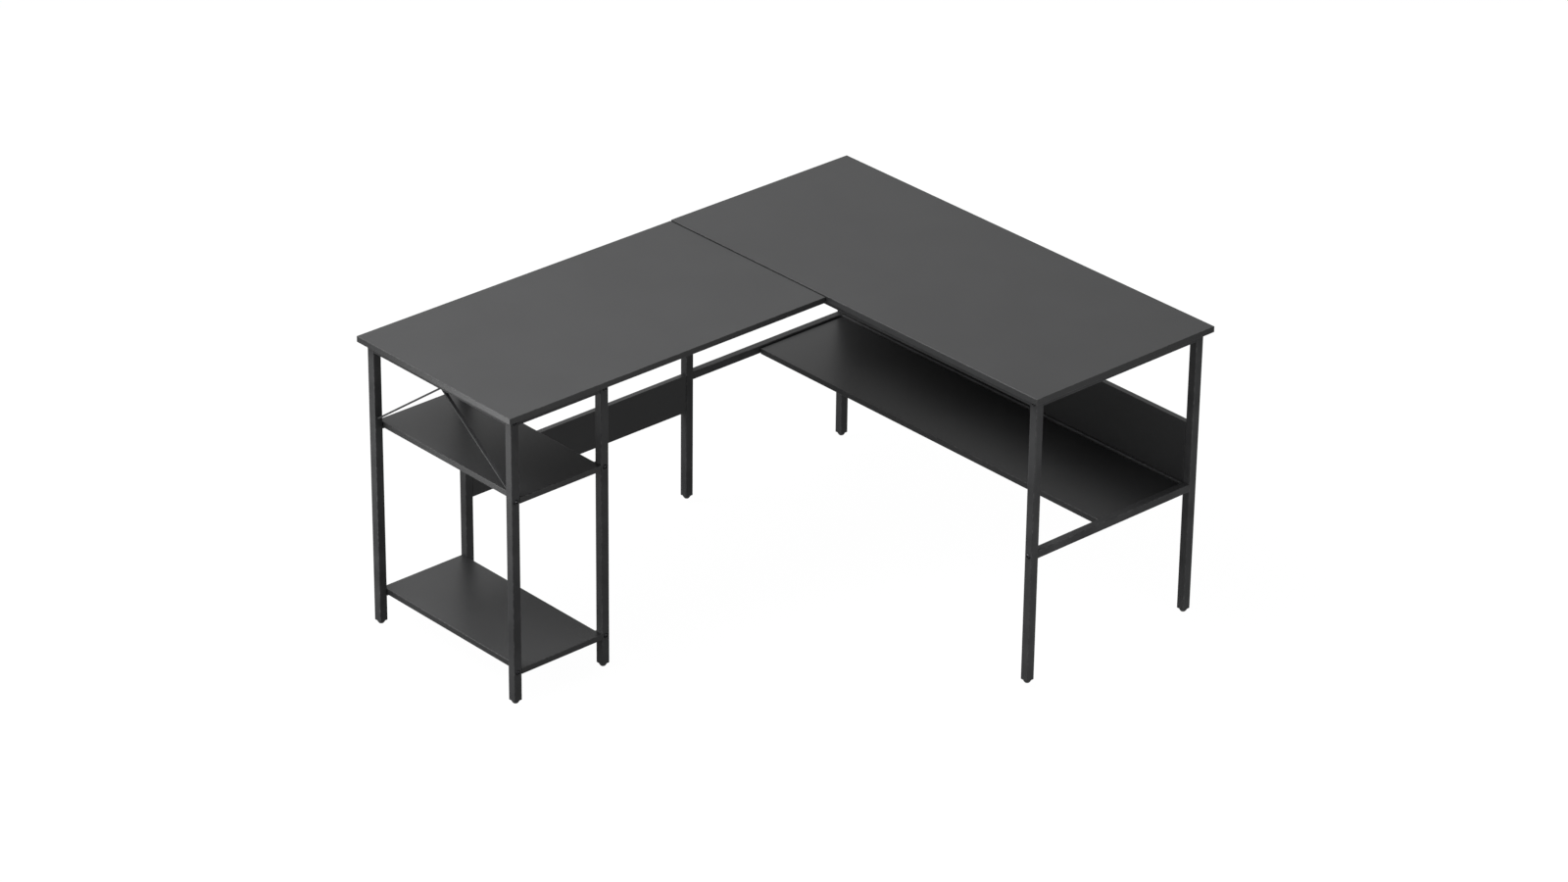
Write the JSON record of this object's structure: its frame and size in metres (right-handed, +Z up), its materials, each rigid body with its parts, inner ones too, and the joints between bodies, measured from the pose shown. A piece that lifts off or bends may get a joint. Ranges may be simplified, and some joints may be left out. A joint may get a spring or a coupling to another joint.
{
  "type": "corner desk",
  "caption": "L-shaped corner desk: a main desk with a rear shelf and back panel, and a return with open shelves, on a square steel tube frame with levelling feet.",
  "frame": {"origin": "centre of the desk's rectangular footprint, on the floor", "axes": "+X along the long side of the main desk towards its free right end, +Y towards the back edge of the main desk, +Z up; the return reaches from the left half of the main desk towards -Y"},
  "size_m": [1.25, 1.52, 0.75],
  "materials": {
    "laminate": "charcoal black laminated board with a fine satin texture",
    "frame": "black satin powder coat on steel",
    "bolts": "glossy black",
    "glides": "black moulded plastic"
  },
  "bodies": {
    "desk_frame": {"main_top": "laminate", "return_top": "laminate", "main_shelf": "laminate", "main_back_panel": "laminate", "return_upper_shelf": "laminate", "return_lower_shelf": "laminate", "return_modesty_panel": "laminate", "leg_main_front_left": "frame", "leg_main_front_right": "frame", "leg_main_back_left": "frame", "leg_main_back_right": "frame", "leg_return_outer_left": "frame", "leg_return_outer_right": "frame", "leg_return_inner_left": "frame", "leg_return_inner_right": "frame", "rail_main_front": "frame", "rail_main_back": "frame", "rail_main_left": "frame", "rail_main_right": "frame", "rail_return_outer": "frame", "rail_return_inner": "frame", "rail_return_left": "frame", "rail_return_right": "frame", "shelf_rail_left": "frame", "shelf_rail_right": "frame", "shelf_rail_back": "frame", "brace_bar_left": "frame", "brace_bar_right": "frame", "bearer_upper_left": "frame", "bearer_upper_right": "frame", "bearer_lower_left": "frame", "bearer_lower_right": "frame", "joining_plate": "frame", "bolt_main_front_left_top": "bolts", "bolt_main_front_right_top": "bolts", "bolt_main_front_right_shelf": "bolts", "bolt_main_back_left_top": "bolts", "bolt_main_back_left_shelf": "bolts", "bolt_main_back_right_top": "bolts", "bolt_main_back_right_shelf": "bolts", "bolt_return_outer_left_top": "bolts", "bolt_return_outer_right_top": "bolts", "bolt_return_outer_right_upper": "bolts", "bolt_return_outer_right_lower": "bolts", "bolt_return_inner_left_top": "bolts", "bolt_return_inner_right_top": "bolts", "bolt_return_inner_right_upper": "bolts", "bolt_return_inner_right_lower": "bolts"},
    "foot_main_front_left": {"foot_main_front_left": "glides"},
    "foot_main_front_right": {"foot_main_front_right": "glides"},
    "foot_main_back_left": {"foot_main_back_left": "glides"},
    "foot_main_back_right": {"foot_main_back_right": "glides"},
    "foot_return_outer_left": {"foot_return_outer_left": "glides"},
    "foot_return_outer_right": {"foot_return_outer_right": "glides"},
    "foot_return_inner_left": {"foot_return_inner_left": "glides"},
    "foot_return_inner_right": {"foot_return_inner_right": "glides"}
  },
  "joints": [
    {"name": "level_main_front_left", "type": "slide", "parent": "desk_frame", "child": "foot_main_front_left", "axis": [0, 0, -1], "range_m": [0, 0.01]},
    {"name": "level_main_front_right", "type": "slide", "parent": "desk_frame", "child": "foot_main_front_right", "axis": [0, 0, -1], "range_m": [0, 0.01]},
    {"name": "level_main_back_left", "type": "slide", "parent": "desk_frame", "child": "foot_main_back_left", "axis": [0, 0, -1], "range_m": [0, 0.01]},
    {"name": "level_main_back_right", "type": "slide", "parent": "desk_frame", "child": "foot_main_back_right", "axis": [0, 0, -1], "range_m": [0, 0.01]},
    {"name": "level_return_outer_left", "type": "slide", "parent": "desk_frame", "child": "foot_return_outer_left", "axis": [0, 0, -1], "range_m": [0, 0.01]},
    {"name": "level_return_outer_right", "type": "slide", "parent": "desk_frame", "child": "foot_return_outer_right", "axis": [0, 0, -1], "range_m": [0, 0.01]},
    {"name": "level_return_inner_left", "type": "slide", "parent": "desk_frame", "child": "foot_return_inner_left", "axis": [0, 0, -1], "range_m": [0, 0.01]},
    {"name": "level_return_inner_right", "type": "slide", "parent": "desk_frame", "child": "foot_return_inner_right", "axis": [0, 0, -1], "range_m": [0, 0.01]}
  ]
}
